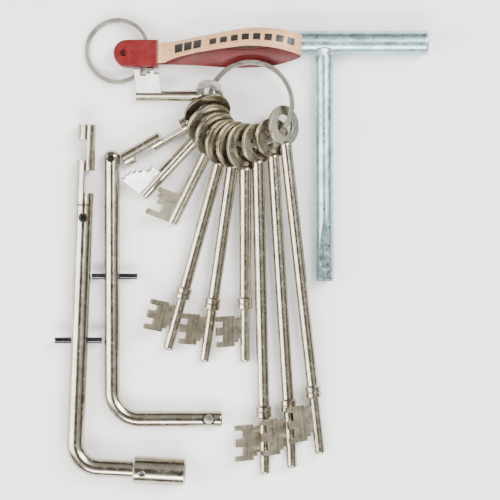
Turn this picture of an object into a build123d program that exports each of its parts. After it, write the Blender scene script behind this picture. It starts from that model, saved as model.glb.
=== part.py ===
from build123d import *
import math
import os

# Fire brigade access key set: ten keys on a split ring, a strap fob with its own ring,
# two cranked bar keys and a welded tee key, all lying flat on z = 0.
# Millimetres, +Z up, origin under the middle of the set's footprint.
# +Y points from the key tips to the crossbar of the tee key.

os.makedirs("parts", exist_ok=True)

# ---------------------------------------------------------------- driving dimensions

# main split ring: two turns of flattened wire, rising towards the strap loop
RING_CENTRE = Vector(4.5, 73.0, 12.5)
RING_RADIUS = 20.5
RING_RISE = 0.10
RING_WIRE = 2.5
RING_TURN = 1.3
RING_END_ANGLE = -36.0

# keys: plate bow, round shank, plate bit
PLATE = 1.9
BIT_PLATE = 2.2
EDGE = 0.25
BOW_LARGE = (11.75, 6.4)
BOW_SMALL = (10.0, 5.4)
BOW_OVAL = (13.0, 5.5, 9.0)
BRAZE_LAP = 2.5
COLLAR_RADIUS = 3.85
COLLAR_LENGTH = 5.0

# each key: bow centre, plan position of the tip, turn of the bow and of the bit about the shank
KEYS = {
    1: dict(bow=(-14.9, 76.9, 10.9), tip=(-52.25, 77.6), turn=52.0, bit_turn=30.0, radius=2.6),
    2: dict(bow=(-16.9, 68.9, 10.9), tip=(-58.5, 45.6), turn=50.0, bit_turn=18.0, radius=4.0),
    3: dict(bow=(-16.0, 63.0, 11.2), tip=(-48.95, 28.0), turn=46.5, bit_turn=30.0, radius=2.9),
    4: dict(bow=(-12.8, 58.0, 11.6), tip=(-34.6, 14.35), turn=43.5, bit_turn=30.0, radius=2.9),
    5: dict(bow=(-8.2, 53.9, 12.0), tip=(-36.75, -48.85), turn=42.0, bit_turn=28.0, radius=2.6),
    6: dict(bow=(-3.0, 52.7, 11.6), tip=(-18.55, -54.9), turn=42.0, bit_turn=28.0, radius=2.6),
    7: dict(bow=(1.9, 51.8, 11.8), tip=(1.75, -54.9), turn=42.0, bit_turn=28.0, radius=2.6),
    8: dict(bow=(8.0, 53.5, 11.6), tip=(11.75, -110.85), turn=43.0, bit_turn=24.0, radius=2.6),
    9: dict(bow=(15.2, 56.4, 10.5), tip=(25.25, -107.65), turn=38.0, bit_turn=24.0, radius=2.6),
    10: dict(bow=(20.9, 62.4, 11.7), tip=(39.25, -100.65), turn=45.0, bit_turn=24.0, radius=2.6),
}
SHANK_UPPER = 3.0

# strap fob
FOB_RING_OUTER = 16.5
FOB_RING_CENTRE = (-61.75, 100.0)
FOB_RING_WIRE = 2.2
FOB_RING_TURN = 1.0
TUNNEL_X = -46.35
SLEEVE_X = (-63.5, -41.5)
SLEEVE_Y = 98.4
SLEEVE_WIDTH = 13.5
SLEEVE_HEIGHT = 9.2
STRAP_WIDTH = 10.0
STRAP_TAN = 0.6
STRAP_RED = 1.0
LOWER_LAYER_Z = 1.5
UPPER_LAYER_Z = 7.7
RIVET_X = -58.5
RIVET_RADIUS = 1.6

# cranked key A: 9 mm bar, clamped notched tip, cross pin, drive sleeve
A_BAR = 4.5
A_TIP = 4.6
A_CORNER = (-82.95, -106.6)
A_LEAN = 2.09
A_LEG_DROP = 3.0
A_BEND = 12.0
A_JOINT_Y = 23.45
A_TIP_Y = 63.05
A_SLEEVE_START_X = -53.75
A_SLEEVE_RADIUS = 7.0
A_SLEEVE_LENGTH = 26.0
A_PIN_Y = -44.05
A_PIN_LEFT_X = -92.75
A_PIN_LENGTH = 23.4

# cranked key B: 8 mm bar, rounded top, cross pin, countersunk eye
B_BAR = 4.0
B_X = -64.4
B_TOP_Y = 50.75
B_LEG_Y = -83.25
B_END_X = -9.55
B_BEND = 13.5
B_EYE_X = -16.3
B_PIN_Y = -12.3
B_PIN_LEFT_X = -74.6
B_PIN_LENGTH = 22.75

PIN_RADIUS = 1.5
PIN_BORE = 0.75
PIN_SLOT = 0.5

# tee key: 12 mm crossbar, 9 mm stem with a flattened end, weld bead
TEE_BAR = 6.0
TEE_BAR_X = (-10.75, 92.75)
TEE_BAR_Y = 103.85
TEE_STEM = 4.5
TEE_STEM_TOP_X = 41.0
TEE_STEM_END = (41.5, -14.65, 4.7)
TEE_FLAT_LENGTH = 32.0
TEE_FLAT_THICKNESS = 5.6


def save(solid, label):
    """Name a finished piece and write it as its own node."""
    solid.label = label
    export_step(solid, f"parts/{label}.step")
    return solid


# ---------------------------------------------------------------- split rings


def split_ring(label, plane, centre_radius, wire, turn, end_angle):
    """Two flat turns lying face to face, with a wire end cut into each turn."""
    with BuildPart() as ring:
        for side in (-1, 1):
            with BuildSketch(plane.offset(side * turn / 2)):
                Circle(centre_radius + wire / 2)
                Circle(centre_radius - wire / 2, mode=Mode.SUBTRACT)
            extrude(amount=turn / 2, both=True)
        outline = ring.edges().filter_by(GeomType.CIRCLE)
        fillet(outline, turn * 0.3)
        for side, angle in ((1, end_angle), (-1, end_angle + 24)):
            with BuildSketch(plane.offset(side * turn)):
                with Locations((centre_radius * math.cos(math.radians(angle)),
                                centre_radius * math.sin(math.radians(angle)))):
                    Rectangle(wire * 1.4, 0.7, rotation=angle)
            extrude(amount=-side * turn * 0.98, mode=Mode.SUBTRACT)
    return save(ring.part, label)


ring_plane = Plane(
    origin=RING_CENTRE,
    x_dir=(1, 0, 0),
    z_dir=Vector(0, -RING_RISE, 1).normalized(),
)
split_ring("main_split_ring", ring_plane, RING_RADIUS, RING_WIRE, RING_TURN, RING_END_ANGLE)

# ---------------------------------------------------------------- keys on the ring


def key_plane(bow, tip, radius, turn):
    """Plane of a key: origin at the bow centre, X down the shank, Z out of the plate."""
    centre = Vector(*bow)
    end = Vector(tip[0], tip[1], radius)
    along = (end - centre).normalized()
    across = Vector(-along.Y, along.X, 0).normalized()
    angle = math.radians(turn)
    normal = along.cross(across) * math.cos(angle) + across * math.sin(angle)
    return Plane(origin=centre, x_dir=along, z_dir=normal), (end - centre).length


def round_bow(label, plane, size):
    """A flat washer-shaped bow."""
    outer, hole = size
    with BuildPart() as bow:
        with BuildSketch(plane):
            Circle(outer)
            Circle(hole, mode=Mode.SUBTRACT)
        extrude(amount=PLATE / 2, both=True)
        fillet(bow.edges().filter_by(GeomType.CIRCLE), EDGE)
    return save(bow.part, label)


def oval_bow(label, plane, size):
    """A flat oval bow, longest across the shank, with a matching slot."""
    outer, hole, straight = size
    with BuildPart() as bow:
        with BuildSketch(plane):
            SlotCenterToCenter(straight, outer, rotation=90)
            SlotCenterToCenter(straight, hole, rotation=90, mode=Mode.SUBTRACT)
        extrude(amount=PLATE / 2, both=True)
    return save(bow.part, label)


def turned_shank(plane, profile):
    """A turned shank from (distance along, radius) steps, without its end rounding."""
    start, finish = profile[0][0], profile[-1][0]
    with BuildPart() as shank:
        with BuildSketch(plane):
            with BuildLine():
                Polyline((start, 0), *profile, (finish, 0), close=True)
            make_face()
        revolve(axis=Axis(plane.origin, plane.x_dir))
    return shank.part


def finished_shank(label, plane, profile, bow, top_round, tip_round):
    """Round both ends of a shank and slot its top over the rim of the bow."""
    axis = Axis(plane.origin, plane.x_dir)
    with BuildPart() as shank:
        add(turned_shank(plane, profile))
        ends = shank.edges().filter_by(GeomType.CIRCLE).sort_by(axis)
        fillet(ends[0], top_round)
        fillet(ends[-1], tip_round)
        add(bow, mode=Mode.SUBTRACT)
    return save(shank.part, label)


def bit_plate(label, plane, length, outline, shank, grooves=()):
    """A plate bit from (distance from tip, depth) points, coped onto the shank."""
    with BuildPart() as bit:
        with BuildSketch(plane):
            with BuildLine():
                Polyline(*[(length - along, -depth) for along, depth in outline], close=True)
            make_face()
        extrude(amount=BIT_PLATE / 2, both=True)
        for face in (-1, 1):
            for low, high, depth in grooves:
                with BuildSketch(plane.offset(face * BIT_PLATE / 2)):
                    with Locations((length - (low + high) / 2, -depth)):
                        Rectangle(high - low + 2, 0.9)
                extrude(amount=-face * 0.4, mode=Mode.SUBTRACT)
        add(shank, mode=Mode.SUBTRACT)
    return save(bit.part, label)


def stair_outline(steps, tooth=0.0):
    """Outline of a stepped bit: (start, end, depth) steps counted from the tip."""
    points = [(steps[0][0], 1.0)]
    for start, end, depth in steps:
        points.append((start, depth))
        if tooth:
            points.append(((start + end) / 2, depth - tooth))
        points.append((end, depth))
    points.append((steps[-1][1], 1.0))
    return points


def prong_outline(low, high):
    """Outline of a three-pronged bit between two distances from the tip."""
    waist, neck, body, prong = 4.4, 6.3, 12.0, 16.0
    middle = (low + high) / 2
    return [
        (low + 3.7, 1.0), (low + 3.7, waist), (low + 2.0, waist), (low + 2.0, neck),
        (low, neck), (low, prong), (low + 2.4, prong), (low + 2.6, body),
        (middle - 1.9, body), (middle - 1.9, prong), (middle + 2.1, prong), (middle + 2.1, body),
        (high - 2.7, body), (high - 2.5, prong), (high, prong), (high, neck),
        (high - 1.4, neck), (high - 1.4, waist), (high - 0.9, waist), (high - 0.9, 1.0),
    ]


STAIR_BITS = {
    1: stair_outline([(0.6, 3.3, 15.0), (3.3, 6.5, 11.5), (6.5, 9.0, 12.7),
                      (9.0, 10.5, 14.3), (10.5, 13.0, 12.5)]),
    3: stair_outline([(0.0, 2.9, 15.0), (2.9, 5.8, 14.4), (5.8, 8.2, 12.7),
                      (8.2, 10.6, 10.4), (10.6, 14.6, 7.5)], tooth=0.7),
    4: stair_outline([(0.0, 2.7, 15.6), (2.7, 6.9, 8.5), (6.9, 9.8, 12.3),
                      (9.8, 12.7, 14.2), (12.7, 14.7, 15.6)]),
}


def plain_key(number, key, bow_size):
    """A short key with a straight shank and a stepped bit."""
    plane, length = key_plane(key["bow"], key["tip"], key["radius"], key["turn"])
    bit_frame, _ = key_plane(key["bow"], key["tip"], key["radius"], key["bit_turn"])
    if number == 1:
        bow = oval_bow(f"key_{number}_bow", plane, bow_size)
        start = bow_size[0] / 2 - BRAZE_LAP
    else:
        bow = round_bow(f"key_{number}_bow", plane, bow_size)
        start = bow_size[0] - BRAZE_LAP
    radius = key["radius"]
    profile = [(start, radius), (length, radius)]
    shank = finished_shank(f"key_{number}_shank", plane, profile, bow, radius * 0.7, 0.5)
    bit_plate(f"key_{number}_bit", bit_frame, length, STAIR_BITS[number], shank)


def notched_key(number, key, bow_size):
    """A short key made of one 8 mm bar with two opposed notches near its tip."""
    plane, length = key_plane(key["bow"], key["tip"], key["radius"], key["turn"])
    cut_frame, _ = key_plane(key["bow"], key["tip"], key["radius"], key["bit_turn"])
    bow = round_bow(f"key_{number}_bow", plane, bow_size)
    radius = key["radius"]
    start = bow_size[0] - BRAZE_LAP
    with BuildPart() as bar:
        add(turned_shank(plane, [(start, radius), (length, radius)]))
        ends = bar.edges().filter_by(GeomType.CIRCLE).sort_by(Axis(plane.origin, plane.x_dir))
        fillet(ends[0], radius * 0.7)
        chamfer(ends[-1], 0.4)
        with BuildSketch(cut_frame):
            with Locations((length - 10.8, 1.1 + radius / 2)):
                Rectangle(11.2, radius + 2.2)
            with Locations((length - 27.9, -1.7 - radius / 2)):
                Rectangle(12.0, radius + 4.8)
        extrude(amount=2 * radius, both=True, mode=Mode.SUBTRACT)
        add(bow, mode=Mode.SUBTRACT)
    save(bar.part, f"key_{number}_notched_bar")


def prong_key(number, key, bow_size, collar_from_tip, low, high):
    """A long key: collared shank, rounded tip and a three-pronged bit."""
    plane, length = key_plane(key["bow"], key["tip"], key["radius"], key["turn"])
    bit_frame, _ = key_plane(key["bow"], key["tip"], key["radius"], key["bit_turn"])
    bow = round_bow(f"key_{number}_bow", plane, bow_size)
    start = bow_size[0] - BRAZE_LAP
    collar_start = length - collar_from_tip - COLLAR_LENGTH / 2
    collar_end = collar_start + COLLAR_LENGTH
    groove = collar_start + COLLAR_LENGTH / 2
    profile = [
        (start, SHANK_UPPER), (collar_start - 0.8, SHANK_UPPER),
        (collar_start, COLLAR_RADIUS), (groove - 0.4, COLLAR_RADIUS),
        (groove, COLLAR_RADIUS - 0.4), (groove + 0.4, COLLAR_RADIUS),
        (collar_end, COLLAR_RADIUS), (collar_end + 0.8, key["radius"]),
        (length, key["radius"]),
    ]
    shank = finished_shank(f"key_{number}_shank", plane, profile, bow, 2.2, 1.2)
    grooves = [(low, high, 7.9), (low, high, 10.1)]
    bit_plate(f"key_{number}_bit", bit_frame, length, prong_outline(low, high), shank, grooves)


plain_key(1, KEYS[1], BOW_OVAL)
notched_key(2, KEYS[2], BOW_LARGE)
for number in (3, 4):
    plain_key(number, KEYS[number], BOW_LARGE)
for number in (5, 6, 7):
    prong_key(number, KEYS[number], BOW_LARGE, 29.4, 8.3, 23.5)
for number in (8, 9, 10):
    prong_key(number, KEYS[number], BOW_SMALL, 31.2, 7.7, 25.5)

# ---------------------------------------------------------------- strap fob

fob_wire_radius = FOB_RING_OUTER - FOB_RING_WIRE / 2
fob_rise = (UPPER_LAYER_Z + LOWER_LAYER_Z) / 2 - FOB_RING_TURN - 0.05
fob_tilt = math.asin(fob_rise / (2 * fob_wire_radius))
fob_ring_plane = Plane(
    origin=(FOB_RING_CENTRE[0], FOB_RING_CENTRE[1], FOB_RING_TURN + 0.05 + fob_rise / 2),
    x_dir=(math.cos(fob_tilt), 0, math.sin(fob_tilt)),
    z_dir=(-math.sin(fob_tilt), 0, math.cos(fob_tilt)),
)
split_ring("fob_split_ring", fob_ring_plane, fob_wire_radius, FOB_RING_WIRE, FOB_RING_TURN, 141.0)

# strap loop, as (x, y, z, lean of the width about X) of the face between its two plies,
# from its upper end in the sleeve, round the loop and back to its lower end
STRAP_COURSE = [
    (-61.0, 98.4, UPPER_LAYER_Z, 0),
    (-41.5, 98.5, UPPER_LAYER_Z, -2),
    (-37.5, 99.0, 7.9, -14),
    (-32.0, 100.2, 9.4, -30),
    (-21.0, 102.2, 13.2, -35),
    (-8.0, 104.0, 17.6, -32),
    (4.0, 105.2, 21.0, -25),
    (15.0, 104.6, 22.3, -16),
    (23.0, 103.2, 21.4, -6),
    (27.9, 101.9, 18.7, 2),
    (28.9, 101.0, 15.6, 7),
    (27.0, 100.4, 13.3, 11),
    (23.0, 98.9, 12.4, 16),
    (15.0, 96.8, 11.7, 22),
    (4.0, 95.8, 11.4, 26),
    (-8.0, 96.0, 11.6, 22),
    (-21.0, 97.2, 9.4, 14),
    (-32.0, 98.0, 4.8, 6),
    (-37.5, 98.3, 2.6, 2),
    (-41.5, 98.4, LOWER_LAYER_Z, 0),
    (-61.0, 98.4, LOWER_LAYER_Z, 0),
]


def strap_frames():
    """Centre, width direction and outward direction at each station of the strap."""
    centres = [Vector(x, y, z) for x, y, z, _ in STRAP_COURSE]
    frames = []
    for i, (_, _, _, lean) in enumerate(STRAP_COURSE):
        after = centres[min(i + 1, len(centres) - 1)]
        before = centres[max(i - 1, 0)]
        travel = (after - before).normalized()
        width = Vector(0, math.cos(math.radians(lean)), math.sin(math.radians(lean)))
        width = (width - travel * width.dot(travel)).normalized()
        frames.append((centres[i], width, travel.cross(width).normalized()))
    return frames


def strap_ply(label, inner, outer):
    """One ply of the strap, between two offsets from the shared face."""
    with BuildPart() as ply:
        for centre, width, outward in strap_frames():
            middle = centre + outward * (inner + outer) / 2
            with BuildSketch(Plane(origin=middle, x_dir=width, z_dir=width.cross(outward))):
                Rectangle(STRAP_WIDTH, outer - inner)
        loft(ruled=True)
        with Locations((RIVET_X, SLEEVE_Y, 0)):
            Cylinder(RIVET_RADIUS, 4 * SLEEVE_HEIGHT, mode=Mode.SUBTRACT)
    return save(ply.part, label)


strap_ply("fob_strap_outer", 0.0, STRAP_TAN)
strap_ply("fob_strap_inner", -STRAP_RED, 0.0)

with BuildPart() as rivet:
    with BuildSketch(Plane((RIVET_X, SLEEVE_Y, 0.3))):
        Circle(RIVET_RADIUS)
    extrude(amount=SLEEVE_HEIGHT - 0.7)
    fillet(rivet.edges().group_by(Axis.Z)[-1], 0.5)
save(rivet.part, "fob_rivet")

# the sleeve: round at its left end, with a channel for each strap layer and an open
# transverse window between the layers for the wire of the fob ring
sleeve_length = SLEEVE_X[1] - SLEEVE_X[0]
sleeve_middle = (SLEEVE_X[0] + SLEEVE_X[1]) / 2
window_low = LOWER_LAYER_Z + STRAP_RED
window_high = UPPER_LAYER_Z - STRAP_RED
with BuildPart() as sleeve:
    with BuildSketch():
        with Locations((sleeve_middle + SLEEVE_WIDTH / 4, SLEEVE_Y)):
            Rectangle(sleeve_length - SLEEVE_WIDTH / 2, SLEEVE_WIDTH)
        with Locations((SLEEVE_X[0] + SLEEVE_WIDTH / 2, SLEEVE_Y)):
            Circle(SLEEVE_WIDTH / 2)
    extrude(amount=SLEEVE_HEIGHT)
    fillet(sleeve.edges().group_by(Axis.Z)[-1], 0.8)
    fillet(sleeve.edges().group_by(Axis.Z)[0], 0.5)
    for layer_low in (LOWER_LAYER_Z - STRAP_TAN, UPPER_LAYER_Z - STRAP_RED):
        with BuildSketch(Plane.XY.offset(layer_low)):
            with Locations((SLEEVE_X[1] - 9.75, SLEEVE_Y)):
                Rectangle(19.6, STRAP_WIDTH + 0.2)
        extrude(amount=STRAP_TAN + STRAP_RED, mode=Mode.SUBTRACT)
    with BuildSketch(Plane.XY.offset(window_low)):
        with Locations((TUNNEL_X - 0.7, SLEEVE_Y)):
            Rectangle(6.6, SLEEVE_WIDTH + 2)
    extrude(amount=window_high - window_low, mode=Mode.SUBTRACT)
    with BuildSketch(Plane.XY.offset(window_low)):
        for side in (-1, 1):
            with Locations((TUNNEL_X - 0.7, SLEEVE_Y + side * (STRAP_WIDTH / 2 + 2.1))):
                Rectangle(6.6, 4.0)
    extrude(amount=5.6, mode=Mode.SUBTRACT)
    with BuildSketch(Plane.XY.offset(-1)):
        with Locations((RIVET_X, SLEEVE_Y)):
            Circle(RIVET_RADIUS)
    extrude(amount=SLEEVE_HEIGHT + 2, mode=Mode.SUBTRACT)
save(sleeve.part, "fob_end_sleeve")

# ---------------------------------------------------------------- shared small fittings


def roll_pin(label, plane, length):
    """A slotted spring pin, from the plane's origin along its Z."""
    with BuildPart() as pin:
        with BuildSketch(plane):
            Circle(PIN_RADIUS)
            Circle(PIN_BORE, mode=Mode.SUBTRACT)
            with Locations((PIN_RADIUS, 0)):
                Rectangle(2 * PIN_RADIUS, PIN_SLOT, mode=Mode.SUBTRACT)
        extrude(amount=length)
    return save(pin.part, label)


def set_screw(label, plane, radius, length, socket):
    """A grub screw sunk from the plane's origin along minus Z, with a hexagon socket."""
    with BuildPart() as screw:
        with BuildSketch(plane):
            Circle(radius)
        extrude(amount=-length)
        chamfer(screw.edges().filter_by(GeomType.CIRCLE), 0.25)
        with BuildSketch(plane):
            RegularPolygon(socket / 2, 6, major_radius=False)
        extrude(amount=-length * 0.6, mode=Mode.SUBTRACT)
    return save(screw.part, label)


# ---------------------------------------------------------------- cranked key A

a_tilt = math.asin((A_SLEEVE_RADIUS - A_TIP) / (A_TIP_Y - A_CORNER[1]))
a_plane = Plane(
    origin=(A_CORNER[0], A_CORNER[1], A_SLEEVE_RADIUS),
    x_dir=(1, 0, 0),
    z_dir=(0, math.sin(a_tilt), math.cos(a_tilt)),
)
lean = math.tan(math.radians(A_LEAN))
drop = math.tan(math.radians(A_LEG_DROP))


def a_axis(y):
    """Point on the long axis of key A at a plan position y, in the key's own plane."""
    along = (y - A_CORNER[1]) / math.cos(a_tilt)
    return (along * lean, along)


a_joint = a_axis(A_JOINT_Y)
a_leg_start = A_SLEEVE_START_X - A_CORNER[0]
a_socket_depth = 11.5
a_bar_depth = 13.5
a_leg_end = (a_leg_start + a_bar_depth, -(a_leg_start + a_bar_depth) * drop)
a_long_dir = Vector(lean, 1, 0).normalized()
a_up = a_plane.z_dir
a_along = a_plane.x_dir * a_long_dir.X + a_plane.y_dir * a_long_dir.Y
a_cross = a_along.cross(a_up)
a_spigot = 2.5
a_spigot_length = 15.0


def a_frame(y, direction):
    """Plane across key A at plan position y, facing a direction, on its axis."""
    u, v = a_axis(y)
    return Plane(origin=a_plane.from_local_coords(Vector(u, v, 0)), z_dir=direction)


a_screw_y = A_JOINT_Y - 6.6
a_side_y = A_JOINT_Y - 11.4
a_screw_planes = {
    "cranked_key_a_top_screw": a_frame(a_screw_y, a_up).offset(A_BAR - 0.25),
    "cranked_key_a_side_screw": a_frame(a_side_y, a_cross).offset(A_BAR - 0.25),
}
a_pin_plane = Plane(
    origin=a_frame(A_PIN_Y, a_up).origin + Vector(A_PIN_LEFT_X, 0, 0)
    - Vector(a_frame(A_PIN_Y, a_up).origin.X, 0, 0),
    x_dir=(0, 0, 1),
    z_dir=(1, 0, 0),
)

with BuildPart() as a_bar:
    with BuildLine(a_plane) as a_path:
        FilletPolyline(a_joint, (0, 0), a_leg_end, radius=A_BEND)
    with BuildSketch(Plane(origin=a_path.line @ 0, z_dir=a_path.line % 0)):
        Circle(A_BAR)
    sweep()
    chamfer(a_bar.edges().filter_by(GeomType.CIRCLE).sort_by(Axis.Y)[-1], 0.8)
    with BuildSketch(a_frame(A_JOINT_Y, a_along)):
        Circle(a_spigot)
    extrude(amount=-a_spigot_length, mode=Mode.SUBTRACT)
    for screw_plane in a_screw_planes.values():
        with BuildSketch(screw_plane.offset(1)):
            Circle(2.4)
        extrude(amount=-3.1, mode=Mode.SUBTRACT)
    with BuildSketch(a_pin_plane):
        Circle(PIN_RADIUS)
    extrude(amount=A_PIN_LENGTH, mode=Mode.SUBTRACT)
save(a_bar.part, "cranked_key_a_bar")

# notched tip: spigot, base, left strip, middle block, right strip, end block
with BuildPart() as a_tip:
    with BuildSketch(a_frame(A_JOINT_Y, a_along)):
        Circle(a_spigot)
    extrude(amount=-a_spigot_length)
    tip_length = (A_TIP_Y - A_JOINT_Y) / math.cos(a_tilt) / math.cos(math.radians(A_LEAN))
    with BuildSketch(a_frame(A_JOINT_Y, a_along)):
        Circle(A_TIP)
    extrude(amount=tip_length)
    cut_plane = Plane(origin=a_frame(A_JOINT_Y, a_up).origin, x_dir=a_cross, z_dir=a_up)
    with BuildSketch(cut_plane):
        with Locations((0.5 + A_TIP / 2, 11.3)):
            Rectangle(A_TIP + 1.0, 11.2)
        with Locations((-0.6 - A_TIP / 2, 27.0)):
            Rectangle(A_TIP + 2.4, 10.2)
    extrude(amount=2 * A_TIP, both=True, mode=Mode.SUBTRACT)
    for screw_plane in a_screw_planes.values():
        with BuildSketch(screw_plane.offset(1)):
            Circle(2.4)
        extrude(amount=-3.1, mode=Mode.SUBTRACT)
save(a_tip.part, "cranked_key_a_notched_tip")

for label, screw_plane in a_screw_planes.items():
    set_screw(label, screw_plane, 2.4, 2.1, 2.5)
roll_pin("cranked_key_a_roll_pin", a_pin_plane, A_PIN_LENGTH)

a_leg_dir = (a_plane.x_dir - a_plane.y_dir * drop).normalized()
a_sleeve_origin = a_plane.from_local_coords(Vector(a_leg_start, -a_leg_start * drop, 0))
a_sleeve_plane = Plane(origin=a_sleeve_origin, x_dir=a_leg_dir.cross(a_up), z_dir=a_leg_dir)
a_sleeve_screw = Plane(
    origin=a_sleeve_origin + a_leg_dir * 4.6,
    z_dir=(a_up * 1.0 - a_plane.y_dir * 0.25).normalized(),
).offset(A_SLEEVE_RADIUS - 0.2)
with BuildPart() as a_sleeve:
    with BuildSketch(a_sleeve_plane):
        Circle(A_SLEEVE_RADIUS)
    extrude(amount=A_SLEEVE_LENGTH)
    chamfer(a_sleeve.edges().filter_by(GeomType.CIRCLE), 0.8)
    with BuildSketch(a_sleeve_plane):
        Circle(A_BAR)
    extrude(amount=a_bar_depth, mode=Mode.SUBTRACT)
    with BuildSketch(a_sleeve_plane.offset(A_SLEEVE_LENGTH)):
        RegularPolygon(4.0, 6, major_radius=False)
    extrude(amount=-a_socket_depth, mode=Mode.SUBTRACT)
    with BuildSketch(a_sleeve_screw.offset(1)):
        Circle(2.0)
    extrude(amount=-3.3, mode=Mode.SUBTRACT)
    with BuildSketch(Plane(origin=a_sleeve_origin + a_leg_dir * 23.2 - a_plane.y_dir * 0.6,
                           z_dir=a_up).offset(A_SLEEVE_RADIUS)):
        Circle(0.9)
    extrude(amount=-0.7, mode=Mode.SUBTRACT)
save(a_sleeve.part, "cranked_key_a_drive_sleeve")
set_screw("cranked_key_a_sleeve_screw", a_sleeve_screw, 2.0, 2.1, 2.2)

# ---------------------------------------------------------------- cranked key B

b_plane = Plane((0, 0, B_BAR))
b_screw_plane = Plane((B_X - 0.5, B_TOP_Y - 4.4, 2 * B_BAR - 0.3))
b_pin_plane = Plane(origin=(B_PIN_LEFT_X, B_PIN_Y, B_BAR), x_dir=(0, 0, 1), z_dir=(1, 0, 0))
with BuildPart() as b_bar:
    with BuildLine(b_plane) as b_path:
        FilletPolyline((B_X, B_TOP_Y), (B_X, B_LEG_Y), (B_END_X, B_LEG_Y), radius=B_BEND)
    with BuildSketch(Plane(origin=b_path.line @ 0, z_dir=b_path.line % 0)):
        Circle(B_BAR)
    sweep()
    rims = b_bar.edges().filter_by(GeomType.CIRCLE).sort_by(Axis.Y)
    fillet(rims[-1], B_BAR * 0.95)
    fillet(b_bar.edges().filter_by(GeomType.CIRCLE).sort_by(Axis.X)[-1], 1.0)
    with BuildSketch(b_screw_plane.offset(1)):
        Circle(2.0)
    extrude(amount=-3.7, mode=Mode.SUBTRACT)
    with Locations(Plane((B_EYE_X, B_LEG_Y, 2 * B_BAR))):
        CounterSinkHole(2.5, 3.5)
    with BuildSketch(b_pin_plane):
        Circle(PIN_RADIUS)
    extrude(amount=B_PIN_LENGTH, mode=Mode.SUBTRACT)
save(b_bar.part, "cranked_key_b_bar")
set_screw("cranked_key_b_set_screw", b_screw_plane, 2.0, 2.4, 2.2)
roll_pin("cranked_key_b_roll_pin", b_pin_plane, B_PIN_LENGTH)

# ---------------------------------------------------------------- tee key

with BuildPart() as tee_bar:
    with BuildSketch(Plane(origin=(TEE_BAR_X[0], TEE_BAR_Y, TEE_BAR), z_dir=(1, 0, 0))):
        Circle(TEE_BAR)
    extrude(amount=TEE_BAR_X[1] - TEE_BAR_X[0])
    fillet(tee_bar.edges().filter_by(GeomType.CIRCLE), 1.2)
save(tee_bar.part, "tee_key_crossbar")

stem_top = Vector(TEE_STEM_TOP_X, TEE_BAR_Y, TEE_BAR)
stem_dir = (Vector(*TEE_STEM_END) - stem_top).normalized()
stem_length = (Vector(*TEE_STEM_END) - stem_top).length
stem_plane = Plane(origin=stem_top, x_dir=stem_dir.cross(Vector(0, 0, 1)), z_dir=stem_dir)
with BuildPart() as tee_stem:
    with BuildSketch(stem_plane):
        Circle(TEE_STEM)
    extrude(amount=stem_length)
    chamfer(tee_stem.edges().filter_by(GeomType.CIRCLE).sort_by(Axis.Y)[0], 0.5)
    flat_start = stem_length - TEE_FLAT_LENGTH
    for side in (-1, 1):
        with BuildSketch(Plane(origin=stem_top, x_dir=stem_dir, z_dir=stem_plane.x_dir)):
            with BuildLine():
                Polyline((flat_start, side * TEE_STEM), (stem_length, side * TEE_FLAT_THICKNESS / 2),
                         (stem_length + 1, side * 2 * TEE_STEM), (flat_start, side * 2 * TEE_STEM),
                         close=True)
            make_face()
        extrude(amount=2 * TEE_STEM, both=True, mode=Mode.SUBTRACT)
    add(tee_bar.part, mode=Mode.SUBTRACT)
save(tee_stem.part, "tee_key_stem")

weld_face = math.sqrt(TEE_BAR**2 - TEE_STEM**2)
with BuildPart() as tee_weld:
    with BuildSketch(stem_plane.offset(weld_face - 0.6)):
        Circle(TEE_STEM + 1.5)
    extrude(amount=3.0, taper=24)
    add(tee_bar.part, mode=Mode.SUBTRACT)
    with BuildSketch(stem_plane):
        Circle(TEE_STEM)
    extrude(amount=20, mode=Mode.SUBTRACT)
save(tee_weld.part, "tee_key_weld_bead")
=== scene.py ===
"""Looks for a fire brigade key set laid flat.

Nickel-plated keys on a split ring, a printed strap fob, two cranked bar keys with
black pins and a zinc-plated tee key. Metres, +Z up, in the part's own frame.
"""

import math

import bpy
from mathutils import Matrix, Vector


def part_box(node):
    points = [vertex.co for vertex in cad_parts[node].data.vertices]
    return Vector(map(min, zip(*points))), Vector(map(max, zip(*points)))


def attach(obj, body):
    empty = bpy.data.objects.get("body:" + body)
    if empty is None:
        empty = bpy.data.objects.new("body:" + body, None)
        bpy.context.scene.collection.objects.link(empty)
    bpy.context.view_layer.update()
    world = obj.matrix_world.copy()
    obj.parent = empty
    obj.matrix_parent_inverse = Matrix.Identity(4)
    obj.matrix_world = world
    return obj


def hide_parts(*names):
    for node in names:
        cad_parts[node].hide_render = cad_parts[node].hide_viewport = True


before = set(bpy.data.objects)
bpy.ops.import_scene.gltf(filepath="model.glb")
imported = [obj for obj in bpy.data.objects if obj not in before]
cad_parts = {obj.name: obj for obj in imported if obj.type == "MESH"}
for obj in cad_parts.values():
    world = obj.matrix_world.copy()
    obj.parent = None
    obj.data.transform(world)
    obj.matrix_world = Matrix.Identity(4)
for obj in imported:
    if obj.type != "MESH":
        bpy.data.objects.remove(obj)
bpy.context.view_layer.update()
MM = 0.001


# ---------------------------------------------------------------- material building

SPECK_DARK, SPECK_LIGHT = (0.80, 0.78, 0.75), (1.0, 1.0, 1.0)
SPECK_SHARE = 0.4
# noise stretched this way runs along the strap
ALONG_STRAP = (0.12, 1, 1)


def colour_sockets(sockets):
    """The colour inputs or outputs of a mix node, which has sockets of other kinds too."""
    return [socket for socket in sockets if socket.type == "RGBA"]


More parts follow.
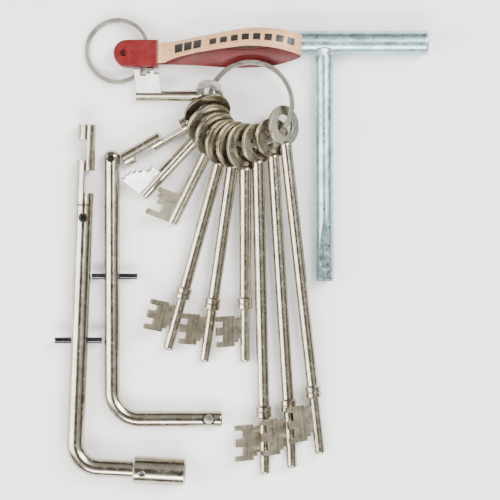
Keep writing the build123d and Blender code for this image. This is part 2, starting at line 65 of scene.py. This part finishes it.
class Shader:
    """A material's node tree with short helpers for linking nodes."""

    def __init__(self, name):
        self.material = bpy.data.materials.new(name)
        self.material.use_nodes = True
        self.tree = self.material.node_tree
        self.principled = self.tree.nodes["Principled BSDF"]
        coordinates = self.tree.nodes.new("ShaderNodeTexCoord")
        self.position = coordinates.outputs["Object"]

    def node(self, kind, **settings):
        """A new node with the given properties set."""
        node = self.tree.nodes.new(kind)
        for key, value in settings.items():
            setattr(node, key, value)
        return node

    def link(self, source, target):
        self.tree.links.new(source, target)

    def noise(self, scale, detail=4.0, roughness=0.55, stretch=(1, 1, 1)):
        """Noise over the object's own coordinates."""
        mapping = self.node("ShaderNodeMapping")
        mapping.inputs["Scale"].default_value = stretch
        self.link(self.position, mapping.inputs["Vector"])
        noise = self.node("ShaderNodeTexNoise")
        noise.inputs["Scale"].default_value = scale
        noise.inputs["Detail"].default_value = detail
        noise.inputs["Roughness"].default_value = roughness
        self.link(mapping.outputs["Vector"], noise.inputs["Vector"])
        return noise.outputs["Fac"]

    def ramp(self, value, low, high, start=0.35, end=0.65):
        """A colour from low to high as value goes from start to end."""
        ramp = self.node("ShaderNodeValToRGB")
        ramp.color_ramp.elements[0].position = start
        ramp.color_ramp.elements[0].color = (*low, 1)
        ramp.color_ramp.elements[1].position = end
        ramp.color_ramp.elements[1].color = (*high, 1)
        self.link(value, ramp.inputs["Fac"])
        return ramp.outputs["Color"]

    def span(self, value, low, high, start=0.3, end=0.7):
        """A number from low to high as value goes from start to end."""
        span = self.node("ShaderNodeMapRange")
        span.inputs["From Min"].default_value = start
        span.inputs["From Max"].default_value = end
        span.inputs["To Min"].default_value = low
        span.inputs["To Max"].default_value = high
        self.link(value, span.inputs["Value"])
        return span.outputs["Result"]

    def math(self, operation, first, second=0.0):
        """The result of a math node; a float is set and a socket is linked."""
        node = self.node("ShaderNodeMath", operation=operation)
        for socket, value in zip(node.inputs, (first, second)):
            if isinstance(value, float):
                socket.default_value = value
            else:
                self.link(value, socket)
        return node.outputs["Value"]

    def mix(self, factor, first, second):
        """Two colours mixed; a tuple is set and a socket is linked."""
        mix = self.node("ShaderNodeMix", data_type="RGBA")
        self.link(factor, mix.inputs["Factor"])
        for socket, value in zip(colour_sockets(mix.inputs), (first, second)):
            if isinstance(value, tuple):
                socket.default_value = (*value, 1)
            else:
                self.link(value, socket)
        return colour_sockets(mix.outputs)[0]

    def bump(self, height, depth):
        """Relief of the given depth in metres."""
        bump = self.node("ShaderNodeBump")
        bump.inputs["Strength"].default_value = 1.0
        bump.inputs["Distance"].default_value = depth
        self.link(height, bump.inputs["Height"])
        self.link(bump.outputs["Normal"], self.principled.inputs["Normal"])

    def set(self, **values):
        """Set inputs of the principled shader by name."""
        for key, value in values.items():
            self.principled.inputs[key.replace("_", " ")].default_value = value


def plated(name, dark, light, rough, grain, blotch=120.0, dent=0.00001, stretch=(1, 1, 1)):
    """Plated metal: mottled tint, uneven gloss and fine pitting."""
    shader = Shader(name)
    shader.set(Metallic=1.0)
    tint = shader.ramp(shader.noise(blotch, stretch=stretch), dark, light)
    speck = shader.ramp(shader.noise(grain, 3.0), SPECK_DARK, SPECK_LIGHT, 0.32, 0.44)
    multiply = shader.node("ShaderNodeMix", data_type="RGBA", blend_type="MULTIPLY")
    multiply.inputs["Factor"].default_value = SPECK_SHARE
    first, second = colour_sockets(multiply.inputs)
    shader.link(tint, first)
    shader.link(speck, second)
    product = colour_sockets(multiply.outputs)[0]
    shader.link(product, shader.principled.inputs["Base Color"])
    gloss = shader.span(shader.noise(grain * 0.35, 5.0), rough * 0.75, rough * 1.35)
    shader.link(gloss, shader.principled.inputs["Roughness"])
    shader.bump(shader.noise(grain * 0.3, 6.0, 0.65, stretch), dent)
    return shader.material


def moulded(name, dark, light, rough, grain, dent):
    """Rubber, lacquer or oxide: a dielectric with a faint mottle."""
    shader = Shader(name)
    tint = shader.ramp(shader.noise(grain * 0.2), dark, light)
    shader.link(tint, shader.principled.inputs["Base Color"])
    gloss = shader.span(shader.noise(grain * 0.5), rough * 0.8, rough * 1.25)
    shader.link(gloss, shader.principled.inputs["Roughness"])
    shader.bump(shader.noise(grain, 5.0), dent)
    return shader.material


SPRING_STEEL = plated("spring_steel", (0.24, 0.225, 0.195), (0.33, 0.31, 0.275), 0.36, 1500.0,
                      blotch=160.0, dent=0.000002)
KEY_NICKEL = plated("key_nickel", (0.33, 0.295, 0.23), (0.46, 0.42, 0.345), 0.22, 1400.0,
                    blotch=110.0, dent=0.000016)
BOW_NICKEL = plated("bow_nickel", (0.33, 0.295, 0.22), (0.42, 0.385, 0.30), 0.30, 900.0,
                    blotch=70.0, dent=0.000004)
# a pale copy of the key nickel: a painted highlight, the bright reflection on key 1's bow and
# bit and key 3's bit
NICKEL_PAINTED_HIGHLIGHT = plated("pale_nickel", (0.74, 0.73, 0.71), (0.92, 0.91, 0.89), 0.42, 1500.0)
BAR_NICKEL = plated("bar_nickel", (0.34, 0.305, 0.245), (0.47, 0.435, 0.36), 0.21, 1300.0,
                    blotch=90.0, dent=0.000016)
# a dark copy of the key nickel: painted shade, the dark reflection on key 2's bow
BOW_PAINTED_DARK_REFLECTION = plated("nickel_painted_dark_reflection", (0.12, 0.10, 0.07), (0.21, 0.18, 0.13), 0.28, 900.0,
                  dent=0.000004)
WELD = plated("weld_zinc", (0.42, 0.47, 0.48), (0.62, 0.68, 0.69), 0.38, 900.0,
              blotch=300.0, dent=0.00012)
# black oxide for the roll pins, also used as painted shade in the grub screw sockets
BLACK_OXIDE_AND_SOCKET_SHADE = plated("black_oxide", (0.035, 0.035, 0.04), (0.10, 0.10, 0.11), 0.28, 1500.0)
RED_RUBBER = moulded("red_rubber", (0.10, 0.0, 0.0005), (0.135, 0.0, 0.001), 0.36, 700.0,
                     dent=0.00002)
# the rivet's red, darkened well below the sleeve's red as painted shade of its recessed dimple
RED_PAINT_AND_RECESS_SHADE = moulded("red_paint", (0.03, 0.0, 0.0005), (0.05, 0.0, 0.001), 0.28, 900.0,
                    dent=0.00002)

ZINC_DARK, ZINC_LIGHT = (0.27, 0.42, 0.445), (0.45, 0.62, 0.645)
SCUFF_COLOUR = (0.16, 0.18, 0.20)
# the scuffs are full at the first y and gone at the second
SCUFFS_FROM, SCUFFS_TO = -0.015, 0.035


def zinc():
    """Blue-bright zinc, speckled, with dark scuffs toward the stem's lower end."""
    shader = Shader("zinc_plate")
    shader.set(Metallic=1.0)
    tint = shader.ramp(shader.noise(150.0), ZINC_DARK, ZINC_LIGHT)
    axes = shader.node("ShaderNodeSeparateXYZ")
    shader.link(shader.position, axes.inputs["Vector"])
    fall = shader.span(axes.outputs["Y"], 1.0, 0.0, SCUFFS_FROM, SCUFFS_TO)
    scuffs = shader.noise(900.0, 6.0, 0.7, (1, 0.45, 1))
    worn = shader.math("MULTIPLY", fall, shader.span(scuffs, 0.0, 1.0, 0.42, 0.60))
    colour = shader.mix(worn, tint, SCUFF_COLOUR)
    shader.link(colour, shader.principled.inputs["Base Color"])
    gloss = shader.span(shader.noise(500.0, 6.0), 0.24, 0.46)
    shader.link(gloss, shader.principled.inputs["Roughness"])
    shader.bump(shader.noise(420.0, 6.0, 0.65), 0.00003)
    return shader.material


ZINC = zinc()

TAN_DARK, TAN_LIGHT = (0.50, 0.27, 0.13), (0.64, 0.38, 0.20)
INK = (0.012, 0.011, 0.010)
# a row of three square blocks, then a row of short plain bars: start and pitch along the
# strap in metres, inked share of the pitch, count, and inked share of the half width
PRINTED_ROWS = (
    (0.0285, 0.0050, 0.84, 3, 0.52),
    (0.0470, 0.0056, 0.66, 8, 0.36),
)


def printed_strap():
    """Tan strap face with lengthwise grain and plain dark printed blocks."""
    shader = Shader("strap_tan")
    along = shader.node("ShaderNodeAttribute", attribute_name="along").outputs["Fac"]
    across = shader.node("ShaderNodeAttribute", attribute_name="across").outputs["Fac"]
    offset = shader.math("ABSOLUTE", across)
    grain = shader.ramp(shader.noise(700.0, 5.0, 0.6, ALONG_STRAP), TAN_DARK, TAN_LIGHT)
    marks = []
    for start, pitch, filled, count, half in PRINTED_ROWS:
        turn = shader.math("DIVIDE", shader.math("SUBTRACT", along, start), pitch)
        printed = shader.math("LESS_THAN", shader.math("FRACT", turn), filled)
        begun = shader.math("GREATER_THAN", turn, 0.0)
        ended = shader.math("LESS_THAN", turn, float(count))
        inside = shader.math("LESS_THAN", offset, half)
        marks.append(shader.math("MULTIPLY", shader.math("MULTIPLY", printed, begun),
                                 shader.math("MULTIPLY", ended, inside)))
    colour = shader.mix(shader.math("MAXIMUM", *marks), grain, INK)
    shader.link(colour, shader.principled.inputs["Base Color"])
    shader.set(Roughness=0.42)
    shader.bump(shader.noise(900.0, 5.0, 0.6, ALONG_STRAP), 0.00002)
    return shader.material


STRAP_TAN = printed_strap()
STRAP_RED = moulded("strap_red", (0.07, 0.0, 0.0005), (0.11, 0.0, 0.001), 0.48, 800.0,
                    dent=0.00003)

# ---------------------------------------------------------------- strap plies

# points on the face between the plies, in millimetres, with the lean of the width in degrees
STRAP_COURSE = [
    (-61.0, 98.4, 7.7, 0), (-41.5, 98.5, 7.7, -2), (-37.5, 99.0, 7.9, -14),
    (-32.0, 100.2, 9.4, -30), (-21.0, 102.2, 13.2, -35), (-8.0, 104.0, 17.6, -32),
    (4.0, 105.2, 21.0, -25), (15.0, 104.6, 22.3, -16), (23.0, 103.2, 21.4, -6),
    (27.9, 101.9, 18.7, 2), (28.9, 101.0, 15.6, 7), (27.0, 100.4, 13.3, 11),
    (23.0, 98.9, 12.4, 16), (15.0, 96.8, 11.7, 22), (4.0, 95.8, 11.4, 26),
    (-8.0, 96.0, 11.6, 22), (-21.0, 97.2, 9.4, 14), (-32.0, 98.0, 4.8, 6),
    (-37.5, 98.3, 2.6, 2), (-41.5, 98.4, 1.5, 0), (-61.0, 98.4, 1.5, 0),
]
STRAP_HALF_WIDTH = 5.0 * MM
TAN_PLY, RED_PLY = (0.0, 0.6 * MM), (-1.0 * MM, 0.0)
STRAP_SAMPLES = 8
EDGE_SEGMENTS = 4


def strap_stations():
    """Smooth points and leans along the strap, by Catmull-Rom through the course."""
    values = [Vector((x * MM, y * MM, z * MM, math.radians(lean)))
              for x, y, z, lean in STRAP_COURSE]
    values = [values[0], *values, values[-1]]
    out = []
    for a, b, c, d in zip(values, values[1:], values[2:], values[3:]):
        for step in range(STRAP_SAMPLES):
            t = step / STRAP_SAMPLES
            out.append(0.5 * ((2 * b) + (c - a) * t + (2 * a - 5 * b + 4 * c - d) * t * t
                              + (3 * b - a - 3 * c + d) * t * t * t))
    out.append(values[-1])
    return out


def ply_section(low, high):
    """Cross-section of a ply: (across, outward) points with rounded edges."""
    radius = (high - low) / 2
    middle = (high + low) / 2
    section = []
    for side in (1, -1):
        for step in range(EDGE_SEGMENTS + 1):
            angle = math.pi / 2 - math.pi * step / EDGE_SEGMENTS
            section.append((side * (STRAP_HALF_WIDTH - radius + radius * math.cos(angle)),
                            middle + side * radius * math.sin(angle)))
    return section


def strap_ply(name, low, high, material, slot):
    """One ply of the strap swept along the course, replacing the plain CAD ply."""
    stations = strap_stations()
    section = ply_section(low, high)
    vertices, along, across = [], [], []
    distance = 0.0
    for i, station in enumerate(stations):
        centre = station.xyz
        after = stations[min(i + 1, len(stations) - 1)].xyz
        before = stations[max(i - 1, 0)].xyz
        travel = (after - before).normalized()
        width = Vector((0, math.cos(station.w), math.sin(station.w)))
        width = (width - travel * width.dot(travel)).normalized()
        outward = travel.cross(width).normalized()
        if i:
            distance += (centre - stations[i - 1].xyz).length
        for side, lift in section:
            vertices.append(centre + width * side + outward * lift)
            along.append(distance)
            across.append(side / STRAP_HALF_WIDTH)
    count = len(section)
    faces = [(i * count + j, i * count + (j + 1) % count,
              (i + 1) * count + (j + 1) % count, (i + 1) * count + j)
             for i in range(len(stations) - 1) for j in range(count)]
    last = (len(stations) - 1) * count
    faces.append(tuple(reversed(range(count))))
    faces.append(tuple(range(last, last + count)))
    mesh = bpy.data.meshes.new(name)
    mesh.from_pydata(vertices, [], faces)
    for label, values in (("along", along), ("across", across)):
        attribute = mesh.attributes.new(label, "FLOAT", "POINT")
        attribute.data.foreach_set("value", values)
    mesh.materials.append(material)
    for polygon in mesh.polygons:
        polygon.use_smooth = len(polygon.vertices) == 4
    strap = bpy.data.objects.new(name, mesh)
    bpy.context.scene.collection.objects.link(strap)
    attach(strap, "fob")
    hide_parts(slot[0])


strap_ply("strap_tan_ply", *TAN_PLY, STRAP_TAN, ("fob_strap_outer", "strap_tan"))
strap_ply("strap_red_ply", *RED_PLY, STRAP_RED, ("fob_strap_inner", "strap_red"))

# ---------------------------------------------------------------- materials on CAD nodes

SPECIAL = {
    "tee_key_weld_bead": WELD,
    # key 2's bow takes the painted dark reflection
    "key_2_bow": BOW_PAINTED_DARK_REFLECTION,
    # key 1's bow and bit and key 3's bit take the painted highlight
    "key_1_bow": NICKEL_PAINTED_HIGHLIGHT,
    "key_1_bit": NICKEL_PAINTED_HIGHLIGHT,
    "key_3_bit": NICKEL_PAINTED_HIGHLIGHT,
    "fob_end_sleeve": RED_RUBBER,
    # the rivet takes red darkened with painted recess shade
    "fob_rivet": RED_PAINT_AND_RECESS_SHADE,
}
# the first family whose text is in a node's name gives its finish
FAMILIES = [
    ("roll_pin", BLACK_OXIDE_AND_SOCKET_SHADE), ("screw", BAR_NICKEL), ("split_ring", SPRING_STEEL),
    ("tee_key", ZINC), ("cranked_key", BAR_NICKEL), ("_bow", BOW_NICKEL), ("_bit", BOW_NICKEL),
    ("key_", KEY_NICKEL),
]


def material_for(name):
    """The finish of a CAD node, by its name; the plies left over are replaced above."""
    if name in SPECIAL:
        return SPECIAL[name]
    for family, material in FAMILIES:
        if family in name:
            return material
    return STRAP_TAN


# faces this close to a screw's axis get the painted socket shade
SOCKET_RADIUS = 1.35 * MM


def paint_socket_shade(name, node):
    """Give the socket faces of a grub screw black as painted shade in the hex socket, by
    distance from its axis.
    """
    low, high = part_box(name)
    size, centre = high - low, (high + low) / 2
    axis = min(range(3), key=lambda i: size[i])
    node.data.materials.append(BLACK_OXIDE_AND_SOCKET_SHADE)
    for polygon in node.data.polygons:
        offset = polygon.center - centre
        offset[axis] = 0.0
        if offset.length < SOCKET_RADIUS:
            polygon.material_index = 1


for name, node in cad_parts.items():
    node.data.materials.clear()
    node.data.materials.append(material_for(name))
    # the hex sockets of the nickel grub screws get black as painted shade
    if "screw" in name:
        paint_socket_shade(name, node)

# ---------------------------------------------------------------- floor, light, camera

FLOOR_SIZE, FLOOR_DROP = 3.0, 0.0002

bpy.ops.mesh.primitive_plane_add(size=FLOOR_SIZE, location=(0, 0, -FLOOR_DROP))
floor = bpy.context.object
floor.name = "floor"
paper = Shader("floor_paper")
paper.link(paper.ramp(paper.noise(40.0), (0.94, 0.94, 0.935), (0.96, 0.96, 0.955)),
           paper.principled.inputs["Base Color"])
paper.set(Roughness=0.7)
floor.data.materials.append(paper.material)

CENTRE = Vector((0.00425, 0.00085, 0.0))


def softbox(name, place, width, height, power, colour=(1, 1, 1)):
    """A rectangular light aimed at the middle of the set."""
    light = bpy.data.lights.new(name, "AREA")
    light.shape = "RECTANGLE"
    light.size = width
    light.size_y = height
    light.energy = power
    light.color = colour
    lamp = bpy.data.objects.new(name, light)
    lamp.location = place
    lamp.rotation_euler = (CENTRE - Vector(place)).to_track_quat("-Z", "Y").to_euler()
    bpy.context.scene.collection.objects.link(lamp)


softbox("key_light", (0.75, 0.55, 1.1), 0.55, 1.2, 40.0, (1.0, 0.99, 0.97))
softbox("side_light", (-0.95, -0.1, 0.75), 0.7, 1.2, 24.0, (1.0, 0.98, 0.95))
softbox("front_light", (0.05, -0.95, 0.85), 1.2, 0.35, 26.0)

# height in the sky, from straight down at 0 to straight up at 1, and colour; the ramp
# holds its first two stops from the start, so the two ends come first
SKY_STOPS = (
    (0.0, (0.35, 0.33, 0.30)), (1.0, (0.05, 0.04, 0.03)),
    (0.12, (0.06, 0.05, 0.04)), (0.36, (0.10, 0.08, 0.06)),
    (0.50, (0.62, 0.60, 0.55)), (0.90, (0.70, 0.68, 0.63)),
    (0.965, (0.08, 0.07, 0.05)),
)
SKY_STRENGTH = 0.85

world = bpy.data.worlds.new("studio")
world.use_nodes = True
bpy.context.scene.world = world
nodes, links = world.node_tree.nodes, world.node_tree.links
direction = nodes.new("ShaderNodeTexCoord")
split = nodes.new("ShaderNodeSeparateXYZ")
links.new(direction.outputs["Generated"], split.inputs["Vector"])
sky = nodes.new("ShaderNodeValToRGB")
elements = sky.color_ramp.elements
ends = (elements[0], elements[1])
for end, (height, shade) in zip(ends, SKY_STOPS):
    end.position = height
    end.color = (*shade, 1)
for height, shade in SKY_STOPS[len(ends):]:
    elements.new(height).color = (*shade, 1)
links.new(split.outputs["Z"], sky.inputs["Fac"])
background = nodes["Background"]
background.inputs["Strength"].default_value = SKY_STRENGTH
links.new(sky.outputs["Color"], background.inputs["Color"])

CAMERA_HEIGHT = 1.0
FIELD_WIDTH = 0.25
SENSOR_WIDTH = 36.0

camera_data = bpy.data.cameras.new("camera")
camera_data.sensor_width = SENSOR_WIDTH
camera_data.lens = SENSOR_WIDTH * CAMERA_HEIGHT / FIELD_WIDTH
camera = bpy.data.objects.new("camera", camera_data)
camera.location = (CENTRE.x, CENTRE.y, CAMERA_HEIGHT)
bpy.context.scene.collection.objects.link(camera)
bpy.context.scene.camera = camera
